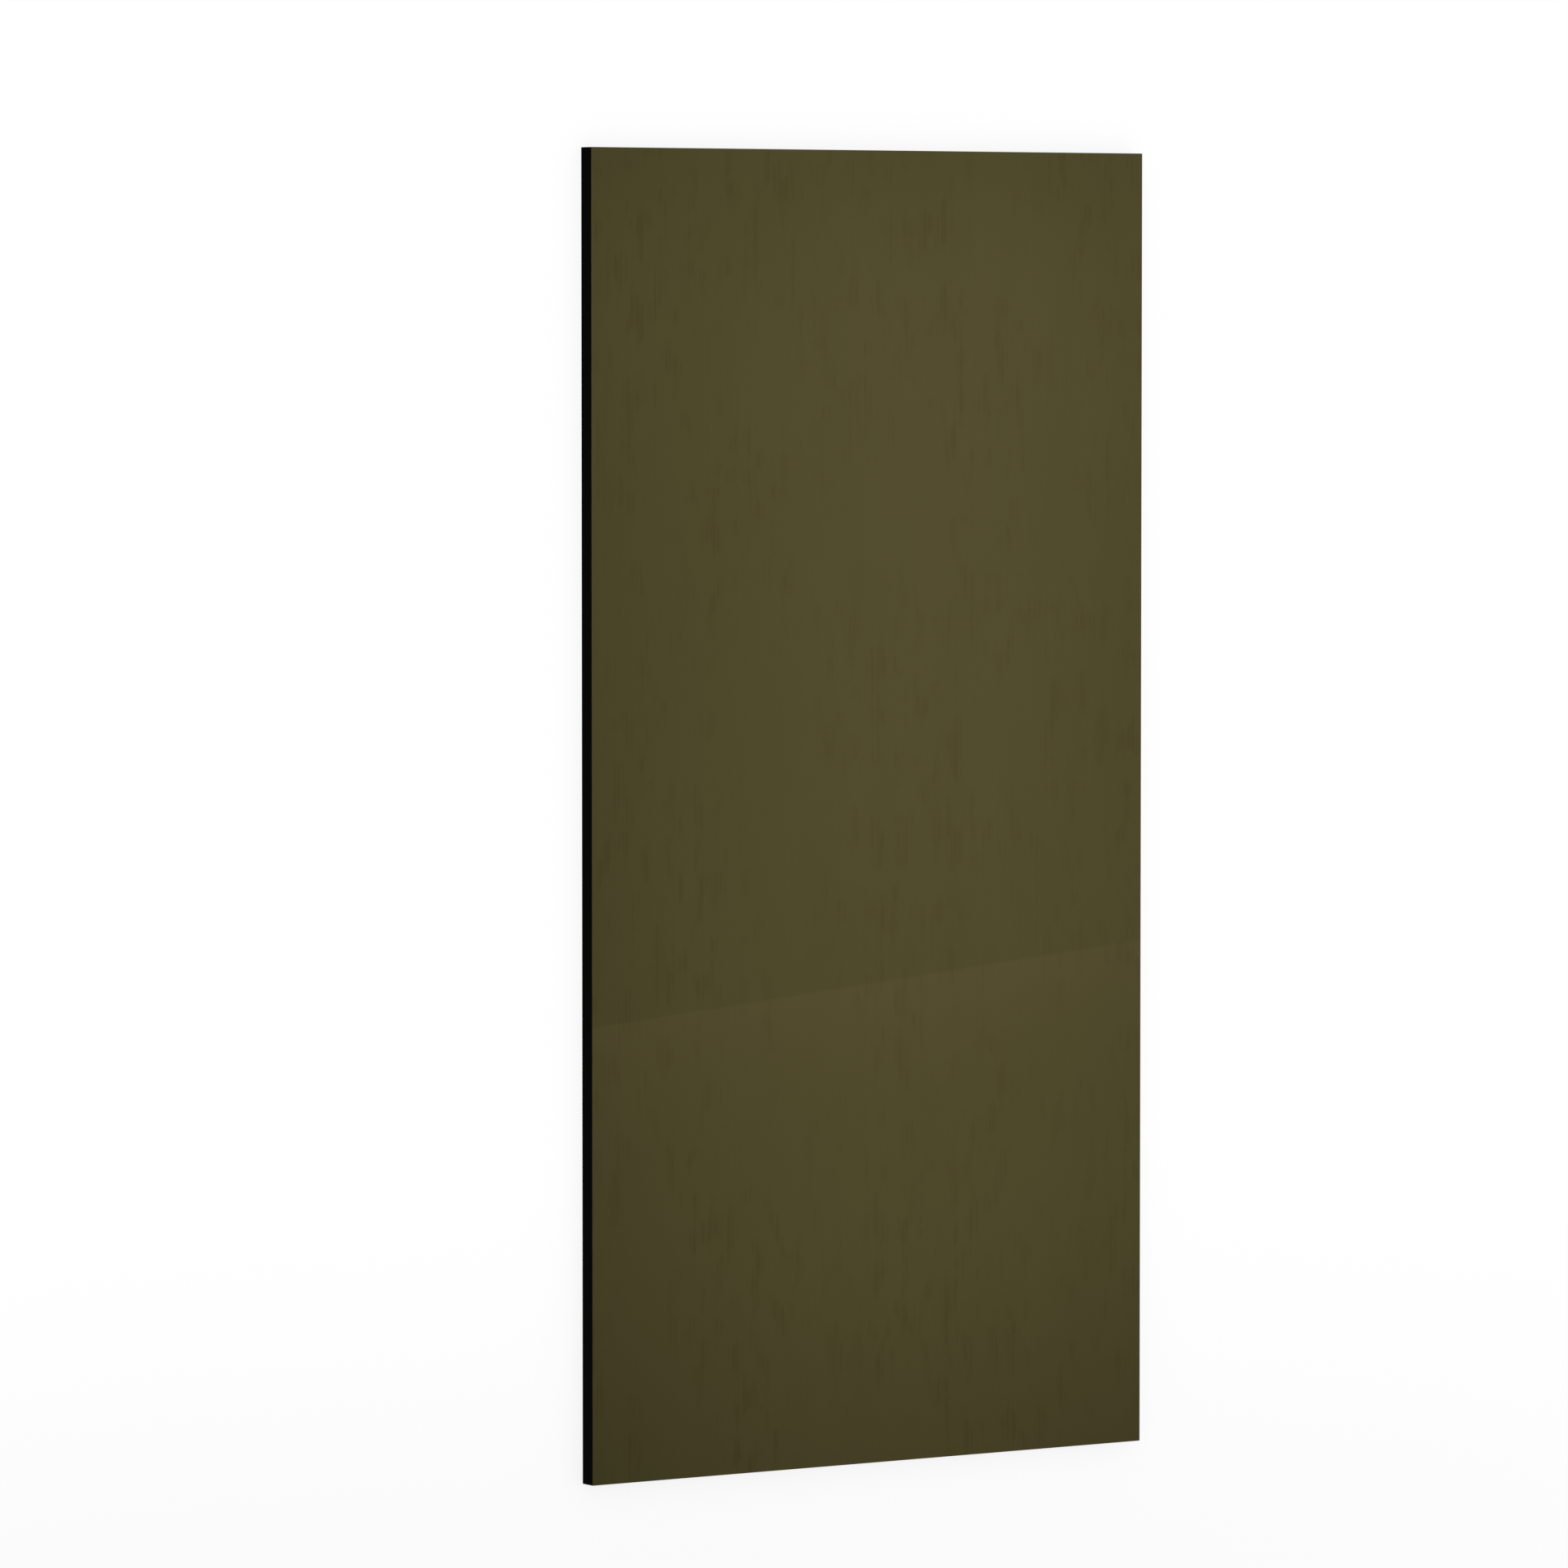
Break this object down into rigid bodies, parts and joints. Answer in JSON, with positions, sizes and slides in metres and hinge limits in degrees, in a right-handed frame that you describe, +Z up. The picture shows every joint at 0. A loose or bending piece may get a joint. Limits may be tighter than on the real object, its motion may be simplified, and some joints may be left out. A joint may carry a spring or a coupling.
{
  "type": "decorative laminate sheet",
  "caption": "Flat rectangular sheet of thick decorative laminate with a glossy dark olive face and a solid black core on its sawn edges; panel stock for cutting, bonding and wall lining.",
  "frame": {"origin": "middle of the back face, on the floor that the sheet lies on", "axes": "+X across the width, +Y along the length towards the head edge, +Z up out of the decor face"},
  "size_m": [1.2192, 2.4384, 0.035],
  "materials": {
    "laminate": "high-gloss dark olive decor face with a faint grain along the length, black core on the sawn edges, sanded dark back"
  },
  "bodies": {
    "root": {"laminate_sheet": "laminate"}
  },
  "joints": []
}
